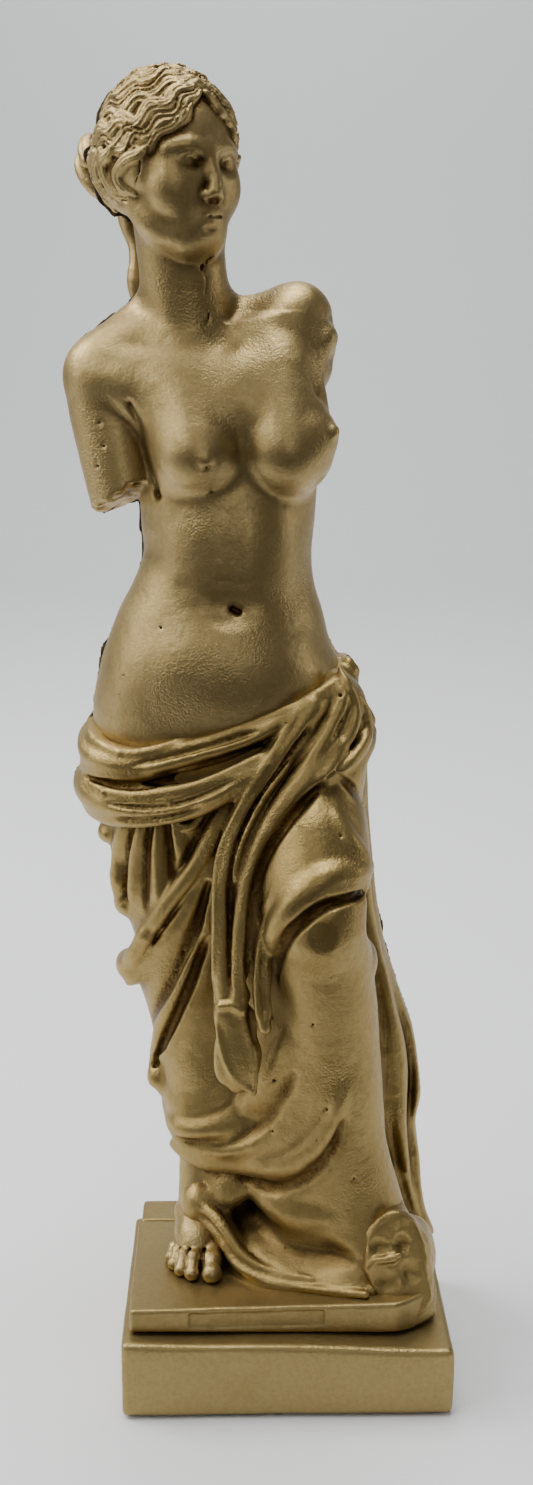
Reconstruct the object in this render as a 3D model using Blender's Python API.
"""Draped classical statuette on a plinth and base block, as the castings and fixings it is put together from.

Written in millimetres and scaled to metres at the end. +Z is up and the figure faces -Y. The origin is the
middle of the base block's footprint, on the surface that the felt pad rests on.
"""

import math

import bmesh
import bpy
from mathutils import Matrix, Vector

# ---------------------------------------------------------------- driving dimensions, mm
BASE_WIDTH = 77.2
BASE_FRONT = -30.0
BASE_BACK = 31.0
BASE_TOP_LEFT = 19.6
BASE_TOP_RIGHT = 17.2
BASE_EDGE = 1.2
PLINTH_SIDE = 36.6
PLINTH_FRONT = -25.5
PLINTH_BACK = 27.9
PLINTH_TOP = 25.3
PLINTH_EDGE = 0.8
PLINTH_STEP = 0.7
PLINTH_CORNER_X = 26.0
PLINTH_CORNER_DROP = 2.0
PLINTH_BULGE_X = 34.5
PLINTH_BULGE_Y = -15.0
PANEL_LOW = (-23.0, PLINTH_FRONT - 2.0, 20.1)
PANEL_HIGH = (8.8, PLINTH_FRONT + 0.9, 24.3)
FELT_THICKNESS = 1.0
FELT_INSET = 1.6
GAP = 0.3
PARTING_Y = 17.0
NECK_JOINT_Z = 253.5
NECK_JOINT_RIGHT = -6.0
TORSO_FOOT_Z = 146.0
ROD_X = 2.0
ROD_Y = 9.0
ROD_RADIUS = 2.5
ROD_HOLE_RADIUS = 2.9
ROD_LOW = 2.5
ROD_HIGH = 64.0
WASHER_THICKNESS = 1.2
BASE_WASHER_RADIUS = 7.0
ANCHOR_WASHER_RADIUS = 6.5
NUT_HEIGHT = 4.0
NUT_RADIUS = 4.7
NUT_BORE_EXTRA = 0.3
COUNTERBORE_TOP = 9.0
COUNTERBORE_RADIUS = 8.5
PIN_RADIUS = 1.5
PIN_CLEARANCE = 0.25
SEAM_PIN_REACH = 4.5
JOINT_ROOM = 0.4

# ---------------------------------------------------------------- mesh quality, mm
VOXEL = 1.6
UPPER_TRIANGLES = 3200
UPPER_SMOOTHING = 10
LOWER_TRIANGLES = 4200
LOWER_SMOOTHING = 3
FOOT_TRIANGLES = 700
FOOT_SMOOTHING = 2
RING_POINTS = 28
FAR = 200.0

# ---------------------------------------------------------------- sections of the lofted masses
# Each section: height, centre x, centre y, half width, half depth.
TORSO_SECTIONS = (
    (TORSO_FOOT_Z, -16.0, 16.5, 29.5, 18.5),
    (161.0, -15.0, 16.5, 29.5, 20.5),
    (168.0, -14.9, 15.5, 28.9, 21.5),
    (175.0, -15.3, 14.5, 26.3, 20.0),
    (182.0, -14.9, 14.0, 24.1, 18.0),
    (189.0, -14.1, 13.9, 21.3, 16.6),
    (196.0, -13.1, 13.9, 19.6, 16.1),
    (203.0, -13.0, 14.0, 20.1, 16.5),
    (210.0, -12.9, 14.4, 20.5, 16.6),
    (218.0, -13.1, 15.0, 20.9, 16.5),
    (226.0, -13.7, 15.5, 21.3, 16.0),
    (233.0, -14.4, 15.9, 22.2, 15.1),
    (240.0, -14.3, 16.4, 21.8, 13.1),
    (247.0, -13.0, 17.0, 18.0, 9.5),
)
SKIRT_SECTIONS = (
    (PLINTH_TOP + GAP, 8.5, 14.0, 26.5, 14.8),
    (36.0, 7.5, 14.8, 27.0, 14.8),
    (45.0, 6.1, 16.0, 28.1, 15.0),
    (53.0, 4.0, 16.5, 29.5, 16.0),
    (62.0, 1.4, 16.8, 32.4, 17.3),
    (78.0, 0.4, 17.0, 32.0, 18.5),
    (86.0, -1.8, 17.0, 31.4, 19.0),
    (95.0, -5.0, 17.0, 31.5, 19.5),
    (103.0, -5.5, 17.0, 29.5, 20.0),
    (111.0, -8.3, 17.0, 30.7, 20.5),
    (119.0, -9.9, 17.0, 31.1, 21.0),
    (127.0, -10.9, 17.0, 31.1, 21.5),
    (136.0, -13.0, 17.3, 31.5, 21.7),
    (146.0, -13.9, 17.5, 32.1, 22.0),
    (154.0, -13.8, 17.8, 31.7, 22.2),
    (161.0, -13.6, 17.8, 29.9, 21.2),
)
HEAD_TURN = 44.0
HEAD_MASSES = (
    # skull with the hair, cheeks, chin, nose, and the knot of hair behind
    ((-26.6, 11.7, 284.0), (15.4, 18.0, 16.6)),
    ((-22.4, 7.3, 276.7), (11.2, 11.2, 13.9)),
    ((-18.9, 3.7, 265.8), (5.6, 5.4, 5.0)),
    ((-14.4, -0.8, 275.0), (1.9, 2.4, 3.6)),
    ((-38.2, 26.2, 283.4), (8.0, 8.0, 8.8)),
)
NECK_AND_SLOPES = (
    # neck, right and left slope of the shoulders, hanging lock
    ((-19.5, 17.0, 236.0, 12.0), (-22.4, 14.0, 256.0, 9.8), (-23.5, 11.5, 268.0, 9.8)),
    (
        (-23.0, 18.5, 256.0, 6.5),
        (-28.0, 18.0, 250.0, 6.5),
        (-35.0, 16.5, 243.0, 7.5),
        (-40.2, 15.5, 236.0, 9.4),
    ),
    ((-19.0, 18.5, 251.0, 6.0), (-11.0, 18.0, 248.5, 6.0), (-3.0, 17.0, 249.0, 6.4), (3.0, 16.5, 249.5, 7.0)),
    ((-35.5, 25.0, 270.0, 3.4), (-33.6, 23.5, 260.0, 3.0), (-32.0, 21.5, 249.5, 2.6)),
)
BUST_MASSES = (
    ((-19.2, 4.6, 219.8), (10.8, 12.2, 10.6)),
    ((0.4, 4.8, 220.4), (10.8, 12.6, 11.0)),
    ((-20.5, 7.0, 229.0), (10.5, 8.6, 13.0)),
    ((-1.0, 6.6, 230.5), (10.0, 8.6, 13.0)),
    ((-10.5, 6.6, 230.0), (9.0, 9.4, 12.0)),
    ((-14.0, 10.5, 233.0), (22.0, 10.0, 12.0)),
    ((-12.5, 4.0, 170.0), (18.5, 11.5, 14.5)),
    ((-12.0, 5.0, 197.0), (13.5, 8.5, 14.0)),
)
SHOULDER_MASSES = (
    ((-39.3, 15.5, 236.0), (9.9, 9.8, 10.0)),
    ((-32.0, 16.5, 242.5), (10.5, 9.0, 7.5)),
    ((2.4, 16.5, 246.4), (8.6, 9.5, 9.9)),
    ((7.0, 14.5, 241.5), (4.8, 7.0, 8.6)),
    ((-7.0, 17.0, 245.5), (9.5, 8.5, 7.5)),
)
# Each station of a limb or fold: x, y, z, radius.
LEFT_LEG = (
    (4.6, 6.5, 153.0, 12.8),
    (6.6, 1.0, 138.0, 14.0),
    (8.4, -10.4, 121.0, 13.2),
    (9.2, -9.0, 106.0, 11.8),
    (10.5, -5.2, 88.0, 11.6),
    (12.0, -3.2, 70.0, 11.6),
    (13.5, -2.4, 56.0, 11.6),
    (16.5, -3.0, 42.0, 11.7),
    (20.0, -5.0, 30.0, 12.2),
)
KNEE = ((8.8, -7.5, 117.0), (10.8, 15.5, 16.0))
ARM = (
    (-40.5, 15.0, 233.0, 8.8),
    (-39.2, 14.4, 224.0, 8.8),
    (-37.2, 13.0, 215.5, 8.5),
    (-35.2, 11.8, 207.5, 8.2),
)
ANKLE = (
    (-19.6, 9.0, 46.0, 5.8),
    (-20.5, 6.5, 40.0, 5.8),
    (-21.0, 0.5, 34.0, 5.8),
    (-21.2, -4.5, 30.0, 4.6),
)
HEEL = ((-20.5, 4.0, 27.5), (6.2, 10.0, 5.0))
TOES = (
    ((-17.6, -5.0, 29.5, 2.4), (-17.6, -12.4, 27.5, 2.3)),
    ((-21.2, -5.0, 29.6, 2.0), (-22.4, -11.8, 27.2, 1.8)),
    ((-23.4, -4.0, 29.2, 1.9), (-25.0, -9.6, 27.0, 1.7)),
    ((-25.0, -1.8, 28.6, 1.8), (-26.8, -6.6, 26.9, 1.6)),
)
# The worn left foot: height, centre x, centre y, half width, half depth.
WORN_FOOT_SECTIONS = (
    (PLINTH_TOP + GAP, 26.3, -12.0, 7.8, 9.8),
    (PLINTH_TOP + 5.0, 26.3, -11.5, 8.4, 8.6),
    (PLINTH_TOP + 11.0, 25.8, -9.5, 7.8, 7.0),
    (PLINTH_TOP + 17.0, 25.4, -8.0, 5.4, 5.0),
)
FOLDS = (
    # two rolls of cloth round the hips
    (
        (12.0, 2.0, 166.0, 3.2),
        (-9.0, -5.0, 157.0, 3.2),
        (-31.0, -2.2, 149.6, 3.8),
        (-40.0, 2.5, 149.0, 4.8),
        (-43.6, 12.0, 150.2, 5.4),
        (-42.0, 24.0, 152.5, 5.4),
        (-32.0, 35.5, 154.5, 5.0),
        (-14.0, 40.0, 158.0, 4.6),
        (4.0, 35.0, 162.5, 4.4),
        (13.0, 25.0, 166.0, 4.0),
        (14.5, 12.0, 167.0, 3.6),
    ),
    (
        (-4.0, -7.5, 151.0, 3.0),
        (-20.0, -6.8, 142.8, 4.0),
        (-38.0, 0.0, 138.8, 5.6),
        (-43.6, 9.0, 139.6, 6.6),
        (-43.6, 20.0, 141.0, 6.8),
        (-35.0, 34.0, 143.0, 6.0),
        (-16.0, 40.5, 146.0, 5.4),
        (4.0, 36.5, 150.0, 5.0),
        (15.5, 26.0, 154.0, 4.6),
        (18.0, 12.0, 155.0, 4.2),
    ),
    # the gathered knot on the left hip
    ((11.6, 12.0, 172.0, 2.8), (12.6, 5.0, 165.0, 6.0), (11.0, 3.5, 157.0, 8.4), (12.0, 1.0, 148.0, 6.0)),
    ((19.0, 9.0, 154.6, 3.4), (17.4, 2.0, 152.2, 3.4), (12.6, -3.4, 149.6, 3.2), (3.0, -8.6, 144.0, 2.6)),
    # three folds that fall from the knot into the hanging end
    (
        (6.0, -3.0, 163.0, 3.2),
        (-10.0, -8.2, 137.0, 3.8),
        (-13.6, -9.0, 122.0, 3.6),
        (-13.4, -11.0, 90.0, 2.8),
    ),
    (
        (11.0, -3.4, 153.0, 3.4),
        (-3.6, -9.4, 136.0, 3.5),
        (-8.2, -10.6, 123.0, 3.3),
        (-10.8, -12.2, 93.0, 2.8),
    ),
    ((-2.0, -7.0, 128.0, 2.4), (-5.6, -12.0, 108.0, 2.6), (-5.0, -14.0, 90.5, 2.4)),
    ((-12.6, -11.4, 93.0, 4.2), (-11.0, -12.0, 83.0, 3.8), (-8.0, -12.4, 74.5, 2.4)),
    # pleats under the rolls on the right hip
    ((-36.2, 4.0, 137.0, 3.4), (-38.6, 6.0, 127.0, 3.4), (-39.0, 9.0, 113.0, 3.6)),
    ((-28.8, -2.4, 138.0, 3.0), (-30.0, -2.0, 126.0, 3.0), (-29.6, 0.0, 114.0, 2.6)),
    # the strong slanting fold, and two lower ones
    ((-4.5, -8.0, 151.0, 3.0), (-17.2, -6.6, 132.0, 3.4), (-31.0, 1.0, 109.8, 3.6), (-39.0, 7.0, 98.8, 3.2)),
    ((-16.2, -6.0, 127.0, 2.8), (-19.8, -3.6, 107.6, 3.2), (-27.4, 2.4, 88.0, 3.2), (-31.4, 8.0, 67.0, 3.2)),
    ((-14.6, -6.0, 130.0, 2.6), (-26.0, 0.0, 109.2, 2.8), (-37.0, 8.0, 93.0, 2.8)),
    # between the legs, and the right leg
    ((0.0, 4.0, 112.0, 8.0), (2.0, 0.8, 78.0, 11.0), (5.0, 1.5, 44.0, 12.0), (7.0, 0.5, 31.0, 12.5)),
    ((-24.0, 14.0, 130.0, 15.0), (-22.0, 12.0, 104.0, 13.5), (-15.0, 9.5, 56.0, 11.0)),
    # swags from the right ankle up to the left knee
    ((-24.0, 4.0, 53.0, 4.6), (-8.4, -6.5, 51.0, 4.6), (4.0, -9.0, 57.0, 4.2), (12.4, -11.0, 72.0, 3.2)),
    ((-26.0, 4.0, 60.0, 3.8), (-13.0, -4.5, 62.6, 4.0), (-3.0, -8.5, 77.0, 3.4), (1.0, -9.5, 88.0, 2.8)),
    # the fold round the knee
    ((20.0, -6.5, 124.6, 3.0), (11.0, -18.0, 126.4, 3.6), (0.4, -15.0, 118.6, 3.4), (-2.4, -13.0, 96.0, 2.8)),
    # side cloth on the left, down to the plinth
    (
        (16.5, 12.0, 158.0, 4.0),
        (19.6, 11.0, 112.0, 4.6),
        (28.2, 12.0, 76.0, 5.0),
        (29.4, 12.5, 53.0, 4.8),
        (32.4, 12.5, 31.0, 5.0),
        (33.6, 12.5, 27.0, 4.6),
    ),
    # long folds down the back
    ((-31.0, 34.0, 134.0, 5.0), (-24.0, 33.0, 98.0, 5.0), (-14.0, 29.0, 60.0, 5.0), (-6.0, 24.5, 30.0, 4.0)),
    ((-10.0, 37.0, 138.0, 5.0), (-2.0, 34.5, 100.0, 5.0), (7.0, 30.0, 58.0, 5.0), (13.0, 24.5, 30.0, 4.0)),
    ((10.0, 34.0, 140.0, 4.0), (16.0, 31.5, 106.0, 4.4), (23.0, 27.0, 62.0, 4.4), (27.0, 23.0, 30.0, 4.0)),
    # the spread hem that sweeps over the right foot
    ((-17.0, -4.6, 38.0, 2.6), (-9.4, -11.6, 29.0, 2.8), (3.4, -14.6, 28.0, 2.8), (17.0, -18.0, 28.0, 2.8)),
)
LOWER_CORE_SECTIONS = (
    (44.0, 3.0, 11.5, 18.0, 12.0),
    (70.0, 0.0, 14.0, 20.0, 12.5),
    (100.0, -5.0, 16.0, 19.0, 13.0),
    (136.0, -13.0, 17.0, 18.0, 12.0),
)
UPPER_CORE_SECTIONS = (
    (158.0, -15.5, 16.5, 15.0, 10.0),
    (195.0, -13.2, 15.5, 10.5, 8.0),
    (225.0, -14.5, 15.5, 12.0, 8.0),
    (236.0, -17.0, 16.5, 9.0, 5.0),
)

# Seam pins cross the parting face: name, x, z. A pin's name starts with the pair of castings that it holds.
SEAM_PINS = (
    ("drapery_seam_pin_right", -28.0, 102.0),
    ("drapery_seam_pin_left", 19.0, 62.0),
    ("torso_seam_pin_hip", -38.0, 166.0),
    ("torso_seam_pin_shoulder", 3.5, 234.0),
    ("head_seam_pin", -26.0, 287.0),
)
# Joint dowels stand upright across a horizontal joint: x, y, low end, high end.
HIP_DOWELS = (
    (-36.5, 11.5, 136.0, 156.0),
    (4.0, 11.5, 136.0, 156.0),
)
NECK_DOWEL = (-21.5, 10.5, 244.0, 263.0)
RIGHT_FOOT_DOWEL = (-20.5, 2.0, 20.0, 31.0)
LEFT_FOOT_DOWEL = (26.0, -9.0, 20.0, 31.0)
ARM_DOWEL = ((-37.5, 14.0, 226.0), (-28.5, 14.5, 229.0))

MATERIALS = {
    "bronze_finish": ((0.45, 0.33, 0.15, 1.0), 0.38, 0.9),
    "felt": ((0.03, 0.09, 0.07, 1.0), 0.95, 0.0),
    "steel": ((0.62, 0.62, 0.64, 1.0), 0.3, 1.0),
}


# ---------------------------------------------------------------- helpers
def clear_scene():
    for old in list(bpy.data.objects):
        bpy.data.objects.remove(old)


def material(name):
    found = bpy.data.materials.get(name)
    if found:
        return found
    colour, roughness, metallic = MATERIALS[name]
    made = bpy.data.materials.new(name)
    made.use_nodes = True
    shader = made.node_tree.nodes["Principled BSDF"]
    shader.inputs["Base Color"].default_value = colour
    shader.inputs["Roughness"].default_value = roughness
    shader.inputs["Metallic"].default_value = metallic
    made.diffuse_color = colour
    return made


def mesh_of(bm, name):
    bmesh.ops.recalc_face_normals(bm, faces=bm.faces)
    made = bpy.data.meshes.new(name)
    bm.to_mesh(made)
    bm.free()
    return made


def add_object(name, mesh, finish):
    placed = bpy.data.objects.new(name, mesh)
    bpy.context.scene.collection.objects.link(placed)
    mesh.materials.clear()
    mesh.materials.append(material(finish))
    mesh.shade_smooth()
    mesh.set_sharp_from_angle(angle=math.radians(40.0))
    return placed


def guide(name, mesh):
    """A cutter: it shapes other pieces and is no piece itself."""
    placed = bpy.data.objects.new(name, mesh)
    bpy.context.scene.collection.objects.link(placed)
    placed.hide_render = True
    placed.display_type = "WIRE"
    return placed


def cut(piece, cutter, operation="DIFFERENCE"):
    step = piece.modifiers.new(cutter.name, "BOOLEAN")
    step.operation = operation
    step.solver = "EXACT"
    step.object = cutter


def bridge(bm, rings):
    """Joins equal rings of vertices into one closed skin with flat ends."""
    count = len(rings[0])
    for low, high in zip(rings, rings[1:]):
        for i in range(count):
            j = (i + 1) % count
            bm.faces.new((low[i], low[j], high[j], high[i]))
    bm.faces.new(rings[0][::-1])
    bm.faces.new(rings[-1])


def superellipse(half_width, half_depth, power, count):
    for step in range(count):
        angle = 2.0 * math.pi * step / count
        c, s = math.cos(angle), math.sin(angle)
        yield (
            half_width * math.copysign(abs(c) ** (2.0 / power), c),
            half_depth * math.copysign(abs(s) ** (2.0 / power), s),
        )


def add_loft(bm, sections, power=2.3, grow=0.0):
    rings = []
    for height, x, y, half_width, half_depth in sections:
        outline = superellipse(half_width + grow, half_depth + grow, power, RING_POINTS)
        rings.append([bm.verts.new((x + dx, y + dy, height)) for dx, dy in outline])
    bridge(bm, rings)


def add_tube(bm, stations, count=18):
    """A round limb through stations of x, y, z, radius, its rings square to the path."""
    points = [Vector(station[:3]) for station in stations]
    rings = []
    for i, station in enumerate(stations):
        ahead = points[min(i + 1, len(points) - 1)] - points[max(i - 1, 0)]
        turn = ahead.to_track_quat("Z", "Y")
        ring = []
        for step in range(count):
            angle = 2.0 * math.pi * step / count
            spoke = Vector((math.cos(angle), math.sin(angle), 0.0)) * station[3]
            ring.append(bm.verts.new(points[i] + turn @ spoke))
        rings.append(ring)
    bridge(bm, rings)


def add_ellipsoid(bm, centre, radii, turn=0.0):
    place = (
        Matrix.Translation(centre)
        @ Matrix.Rotation(math.radians(turn), 4, "Z")
        @ Matrix.Diagonal((*radii, 1.0))
    )
    bmesh.ops.create_uvsphere(bm, u_segments=24, v_segments=14, radius=1.0, matrix=place)


def box_mesh(name, low, high):
    bm = bmesh.new()
    middle = (Vector(low) + Vector(high)) / 2.0
    size = Vector(high) - Vector(low)
    place = Matrix.Translation(middle) @ Matrix.Diagonal((*size, 1.0))
    bmesh.ops.create_cube(bm, size=1.0, matrix=place)
    return mesh_of(bm, name)


def rod_mesh(name, low, high, radius, count=20):
    """A straight round bar between two points."""
    bm = bmesh.new()
    axis = Vector(high) - Vector(low)
    middle = (Vector(low) + Vector(high)) / 2.0
    place = Matrix.Translation(middle) @ axis.to_track_quat("Z", "Y").to_matrix().to_4x4()
    bmesh.ops.create_cone(
        bm,
        cap_ends=True,
        segments=count,
        radius1=radius,
        radius2=radius,
        depth=axis.length,
        matrix=place,
    )
    return mesh_of(bm, name)


def washer_mesh(name, x, y, low, high, inner, outer, sides=24):
    """A flat ring, or with six sides a nut: the outside is a prism and the hole is round."""
    bm = bmesh.new()
    corners = []
    for height in (low, high):
        for radius, count in ((outer, sides), (inner, sides)):
            corners.append(
                [
                    bm.verts.new(
                        (
                            x + radius * math.cos(2.0 * math.pi * i / count),
                            y + radius * math.sin(2.0 * math.pi * i / count),
                            height,
                        )
                    )
                    for i in range(count)
                ]
            )
    low_out, low_in, high_out, high_in = corners
    for first, second in ((low_out, high_out), (high_out, high_in), (high_in, low_in), (low_in, low_out)):
        for i in range(sides):
            j = (i + 1) % sides
            bm.faces.new((first[i], first[j], second[j], second[i]))
    return mesh_of(bm, name)


def fused(bm, name, triangles, smoothing):
    """One closed skin round overlapping masses: voxel remesh, a light smoothing, then a coarser mesh."""
    rough = guide(name, mesh_of(bm, name))
    melt = rough.modifiers.new("melt", "REMESH")
    melt.mode = "VOXEL"
    melt.voxel_size = VOXEL
    soften = rough.modifiers.new("soften", "SMOOTH")
    soften.iterations = smoothing
    coarse = rough.modifiers.new("coarse", "DECIMATE")
    bpy.context.view_layer.update()
    graph = bpy.context.evaluated_depsgraph_get()
    faces = len(rough.evaluated_get(graph).data.polygons)
    coarse.ratio = min(1.0, triangles / (2.0 * faces))
    bpy.context.view_layer.update()
    graph = bpy.context.evaluated_depsgraph_get()
    baked = bpy.data.meshes.new_from_object(rough.evaluated_get(graph))
    bpy.data.objects.remove(rough)
    return baked


def grown(mesh, distance):
    """The same skin moved outwards, to cut room for its piece."""
    bm = bmesh.new()
    bm.from_mesh(mesh)
    bm.normal_update()
    for vertex in bm.verts:
        vertex.co += vertex.normal * distance
    made = bpy.data.meshes.new(mesh.name + "_room")
    bm.to_mesh(made)
    bm.free()
    return made


# ---------------------------------------------------------------- the masses
def upper_mass():
    """Head, neck, bust and hips, without the arm stump."""
    bm = bmesh.new()
    add_loft(bm, TORSO_SECTIONS)
    for stations in NECK_AND_SLOPES:
        add_tube(bm, stations)
    for centre, radii in HEAD_MASSES:
        add_ellipsoid(bm, centre, radii, HEAD_TURN)
    for centre, radii in BUST_MASSES + SHOULDER_MASSES:
        add_ellipsoid(bm, centre, radii)
    return fused(bm, "upper_mass", UPPER_TRIANGLES, UPPER_SMOOTHING)


def lower_mass():
    """The draped hips and legs: skirt, bent left knee, rolls round the hips, hanging end, swags and hem."""
    bm = bmesh.new()
    add_loft(bm, SKIRT_SECTIONS)
    add_tube(bm, LEFT_LEG)
    add_ellipsoid(bm, *KNEE)
    for stations in FOLDS:
        add_tube(bm, stations, 12)
    return fused(bm, "lower_mass", LOWER_TRIANGLES, LOWER_SMOOTHING)


def arm_mesh(name, grow=0.0):
    """The right upper arm, broken off above the elbow. Its top is a round tenon in the shoulder."""
    bm = bmesh.new()
    stations = [(x, y, z, radius + grow) for x, y, z, radius in ARM]
    x, y, z, radius = stations[0]
    stations[0] = (x, y, z + grow, radius)
    add_tube(bm, stations, 24)
    return mesh_of(bm, name)


def right_foot_mesh():
    """The bare foot that carries the weight: ankle, heel, instep and the toes that show."""
    bm = bmesh.new()
    add_tube(bm, ANKLE)
    add_ellipsoid(bm, *HEEL)
    for toe in TOES:
        add_tube(bm, toe, 10)
    return fused(bm, "right_foot", FOOT_TRIANGLES, FOOT_SMOOTHING)


def left_foot_mesh():
    """The worn front of the left foot, a rough lump by the plinth's front corner."""
    bm = bmesh.new()
    add_loft(bm, WORN_FOOT_SECTIONS, 2.0)
    return mesh_of(bm, "left_foot")


# ---------------------------------------------------------------- cutters
def half_space(name, front):
    """Everything before or behind the parting face, short of it by half the gap."""
    if front:
        return guide(name, box_mesh(name, (-FAR, -FAR, -FAR), (FAR, PARTING_Y - GAP / 2.0, 2.0 * FAR)))
    return guide(name, box_mesh(name, (-FAR, PARTING_Y + GAP / 2.0, -FAR), (FAR, FAR, 2.0 * FAR)))


def core(name, sections):
    """The hollow that a core leaves in the two half castings."""
    bm = bmesh.new()
    add_loft(bm, sections, 2.0)
    return guide(name, mesh_of(bm, name))


def pin_and_hole(name, low, high, radius=PIN_RADIUS):
    """Adds a dowel and returns the cutter for its hole, which is longer and wider by the clearance."""
    add_object(name, rod_mesh(name, low, high, radius, 16), "steel")
    along = (Vector(high) - Vector(low)).normalized() * PIN_CLEARANCE
    hole_name = name + "_hole"
    hole = rod_mesh(hole_name, Vector(low) - along, Vector(high) + along, radius + PIN_CLEARANCE, 16)
    return guide(hole_name, hole)


def base_top(x):
    """The base block's top falls slightly from left to right."""
    share = (x + BASE_WIDTH / 2.0) / BASE_WIDTH
    return BASE_TOP_LEFT + (BASE_TOP_RIGHT - BASE_TOP_LEFT) * share


def slab_mesh(name, outline, low, high):
    """A straight-sided slab on a plan outline; its bottom and top heights are functions of x."""
    bm = bmesh.new()
    bottom = [bm.verts.new((x, y, low(x))) for x, y in outline]
    top = [bm.verts.new((x, y, high(x))) for x, y in outline]
    bridge(bm, [bottom, top])
    return mesh_of(bm, name)


def rectangle(half_width, front, back):
    return ((-half_width, front), (half_width, front), (half_width, back), (-half_width, back))


def bevel(piece, width, segments=2):
    step = piece.modifiers.new("edges", "BEVEL")
    step.width = width
    step.segments = segments
    step.limit_method = "ANGLE"
    step.angle_limit = math.radians(40.0)


# ---------------------------------------------------------------- the pieces
def build_base(holes):
    felt_plan = rectangle(BASE_WIDTH / 2.0 - FELT_INSET, BASE_FRONT + FELT_INSET, BASE_BACK - FELT_INSET)
    add_object("felt_pad", slab_mesh("felt_pad", felt_plan, lambda x: 0.0, lambda x: FELT_THICKNESS), "felt")

    block_plan = rectangle(BASE_WIDTH / 2.0, BASE_FRONT, BASE_BACK)
    block = slab_mesh("base_block", block_plan, lambda x: FELT_THICKNESS + GAP, base_top)
    base = add_object("base_block", block, "bronze_finish")
    bevel(base, BASE_EDGE)
    cut(base, holes["rod"])
    cut(base, holes["counterbore"])

    near = PARTING_Y - GAP / 2.0
    far = PARTING_Y + GAP / 2.0
    back_side = PLINTH_SIDE - PLINTH_STEP
    plans = {
        "plinth_front": (
            (-PLINTH_SIDE, PLINTH_FRONT),
            (PLINTH_CORNER_X, PLINTH_FRONT + PLINTH_CORNER_DROP),
            (PLINTH_BULGE_X, PLINTH_BULGE_Y),
            (PLINTH_SIDE, near),
            (-PLINTH_SIDE, near),
        ),
        "plinth_back": (
            (-back_side, far),
            (back_side, far),
            (back_side, PLINTH_BACK),
            (-back_side, PLINTH_BACK),
        ),
    }
    for name, plan in plans.items():
        slab = slab_mesh(name, plan, lambda x: base_top(x) + GAP, lambda x: PLINTH_TOP)
        plinth = add_object(name, slab, "bronze_finish")
        bevel(plinth, PLINTH_EDGE)
        if name == "plinth_front":
            cut(plinth, guide("panel", box_mesh("panel", PANEL_LOW, PANEL_HIGH)))
            for key in ("rod", "right_foot_dowel_hole", "left_foot_dowel_hole"):
                cut(plinth, holes[key])


def build_fixings():
    """The tie rod with its nuts and washers, and the holes that they need."""
    rod = rod_mesh("tie_rod", (ROD_X, ROD_Y, ROD_LOW), (ROD_X, ROD_Y, ROD_HIGH), ROD_RADIUS, 24)
    add_object("tie_rod", rod, "steel")
    core_floor = LOWER_CORE_SECTIONS[0][0]
    washer_bore = ROD_RADIUS + PIN_CLEARANCE
    nut_bore = washer_bore + NUT_BORE_EXTRA
    base_washer = COUNTERBORE_TOP - GAP - WASHER_THICKNESS
    base_nut = base_washer - GAP - NUT_HEIGHT
    anchor_washer = core_floor + GAP
    anchor_nut = anchor_washer + WASHER_THICKNESS + GAP
    stack = (
        ("base_washer", base_washer, WASHER_THICKNESS, washer_bore, BASE_WASHER_RADIUS, 24),
        ("base_nut", base_nut, NUT_HEIGHT, nut_bore, NUT_RADIUS, 6),
        ("anchor_washer", anchor_washer, WASHER_THICKNESS, washer_bore, ANCHOR_WASHER_RADIUS, 24),
        ("anchor_nut", anchor_nut, NUT_HEIGHT, nut_bore, NUT_RADIUS, 6),
    )
    for name, low, height, bore, outer, sides in stack:
        add_object(name, washer_mesh(name, ROD_X, ROD_Y, low, low + height, bore, outer, sides), "steel")
    below = (ROD_X, ROD_Y, -1.0)
    rod_hole = rod_mesh("rod_hole", below, (ROD_X, ROD_Y, core_floor + 2.0), ROD_HOLE_RADIUS, 24)
    counterbore = rod_mesh("counterbore", below, (ROD_X, ROD_Y, COUNTERBORE_TOP), COUNTERBORE_RADIUS, 32)
    return {"rod": guide("rod_hole", rod_hole), "counterbore": guide("counterbore", counterbore)}


def build_dowels():
    """Every dowel with its hole. Returns the hole cutters by name."""
    holes = {}
    dowels = {"arm_dowel": ARM_DOWEL}
    uprights = {
        "neck_dowel": NECK_DOWEL,
        "right_foot_dowel": RIGHT_FOOT_DOWEL,
        "left_foot_dowel": LEFT_FOOT_DOWEL,
    }
    for side, dowel in zip(("right", "left"), HIP_DOWELS):
        uprights[f"hip_dowel_{side}"] = dowel
    for name, (x, y, low, high) in uprights.items():
        dowels[name] = ((x, y, low), (x, y, high))
    for name, x, z in SEAM_PINS:
        dowels[name] = ((x, PARTING_Y - SEAM_PIN_REACH, z), (x, PARTING_Y + SEAM_PIN_REACH, z))
    for name, (low, high) in dowels.items():
        hole = pin_and_hole(name, low, high)
        holes[hole.name] = hole
    return holes


def holes_for(holes, owner):
    return [hole for name, hole in holes.items() if name.startswith(owner)]


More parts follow.
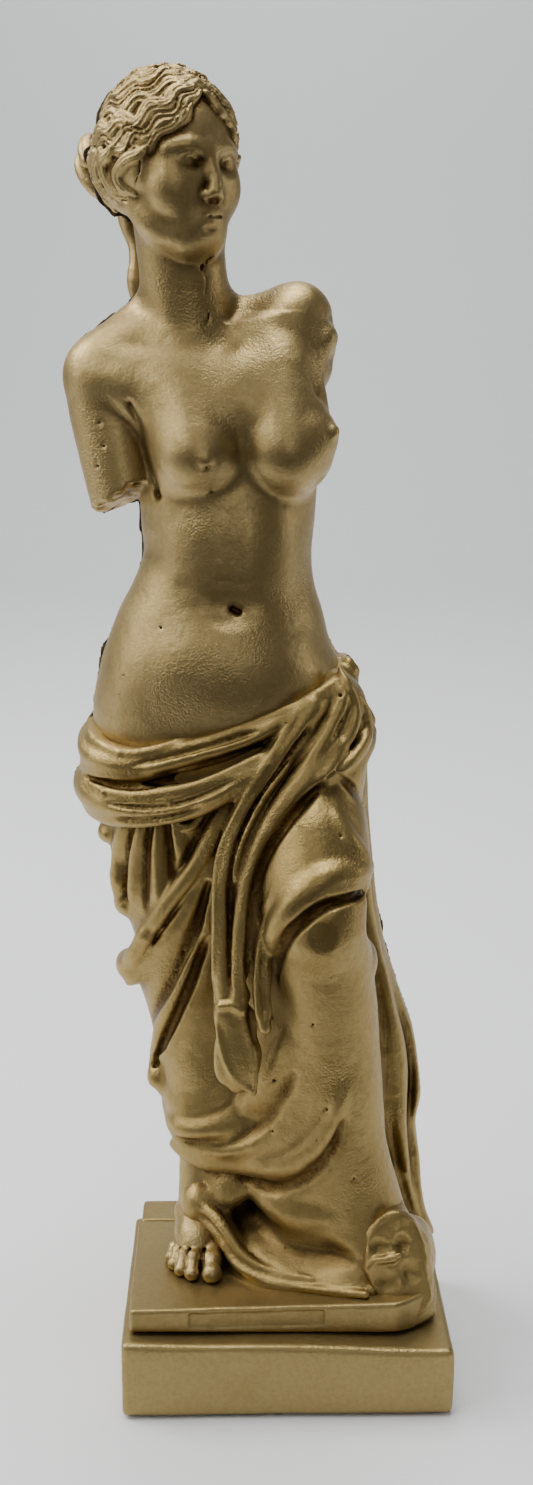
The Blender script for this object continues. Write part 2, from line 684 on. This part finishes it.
def build_figure(holes):
    upper = upper_mass()
    lower = lower_mass()
    arm = arm_mesh("right_arm_stump")
    right_foot = right_foot_mesh()
    left_foot = left_foot_mesh()
    halves = {"front": half_space("before_parting", True), "back": half_space("behind_parting", False)}
    head_zone = guide(
        "head_zone",
        box_mesh("head_zone", (-FAR, -FAR, NECK_JOINT_Z + GAP / 2.0), (NECK_JOINT_RIGHT, FAR, 2.0 * FAR)),
    )
    head_room = guide(
        "head_room",
        box_mesh(
            "head_room",
            (-FAR, -FAR, NECK_JOINT_Z - GAP / 2.0),
            (NECK_JOINT_RIGHT + GAP, FAR, 2.0 * FAR),
        ),
    )
    plinth_room = guide(
        "plinth_room",
        box_mesh("plinth_room", (-FAR, -FAR, -FAR), (FAR, FAR, PLINTH_TOP + GAP)),
    )
    arm_room = guide("arm_room", arm_mesh("arm_room", JOINT_ROOM))
    torso_room = guide("torso_room", grown(upper, JOINT_ROOM))
    right_foot_room = guide("right_foot_room", grown(right_foot, JOINT_ROOM))
    left_foot_room = guide("left_foot_room", grown(left_foot, JOINT_ROOM))
    lower_core = core("lower_core", LOWER_CORE_SECTIONS)
    upper_core = core("upper_core", UPPER_CORE_SECTIONS)

    for side, half in halves.items():
        head = add_object(f"head_{side}", upper.copy(), "bronze_finish")
        cut(head, half, "INTERSECT")
        cut(head, head_zone, "INTERSECT")
        torso = add_object(f"torso_{side}", upper.copy(), "bronze_finish")
        cut(torso, half, "INTERSECT")
        cut(torso, head_room)
        cut(torso, arm_room)
        cut(torso, upper_core)
        drapery = add_object(f"drapery_{side}", lower.copy(), "bronze_finish")
        cut(drapery, half, "INTERSECT")
        cut(drapery, plinth_room)
        cut(drapery, torso_room)
        cut(drapery, right_foot_room)
        cut(drapery, left_foot_room)
        cut(drapery, lower_core)
        for piece, owner in ((head, "head"), (torso, "torso"), (drapery, "drapery")):
            for hole in holes_for(holes, owner + "_seam_pin"):
                cut(piece, hole)
        if side == "front":
            cut(head, holes["neck_dowel_hole"])
            cut(torso, holes["neck_dowel_hole"])
            cut(torso, holes["arm_dowel_hole"])
            cut(drapery, holes["rod"])
            for hole in holes_for(holes, "hip_dowel"):
                cut(torso, hole)
                cut(drapery, hole)
        else:
            cut(torso, holes["arm_dowel_hole"])

    stump = add_object("right_arm_stump", arm, "bronze_finish")
    cut(stump, holes["arm_dowel_hole"])
    foot = add_object("right_foot", right_foot, "bronze_finish")
    cut(foot, plinth_room)
    cut(foot, holes["right_foot_dowel_hole"])
    lump = add_object("left_foot", left_foot, "bronze_finish")
    cut(lump, holes["left_foot_dowel_hole"])


def to_metres():
    """Everything above is in millimetres; each mesh, and each modifier width, becomes metres."""
    scale = Matrix.Scale(0.001, 4)
    for mesh in {placed.data for placed in bpy.data.objects}:
        mesh.transform(scale)
    for placed in bpy.data.objects:
        for step in placed.modifiers:
            if step.type == "BEVEL":
                step.width *= 0.001


def main():
    clear_scene()
    holes = build_fixings()
    holes.update(build_dowels())
    build_base(holes)
    build_figure(holes)
    to_metres()


main()
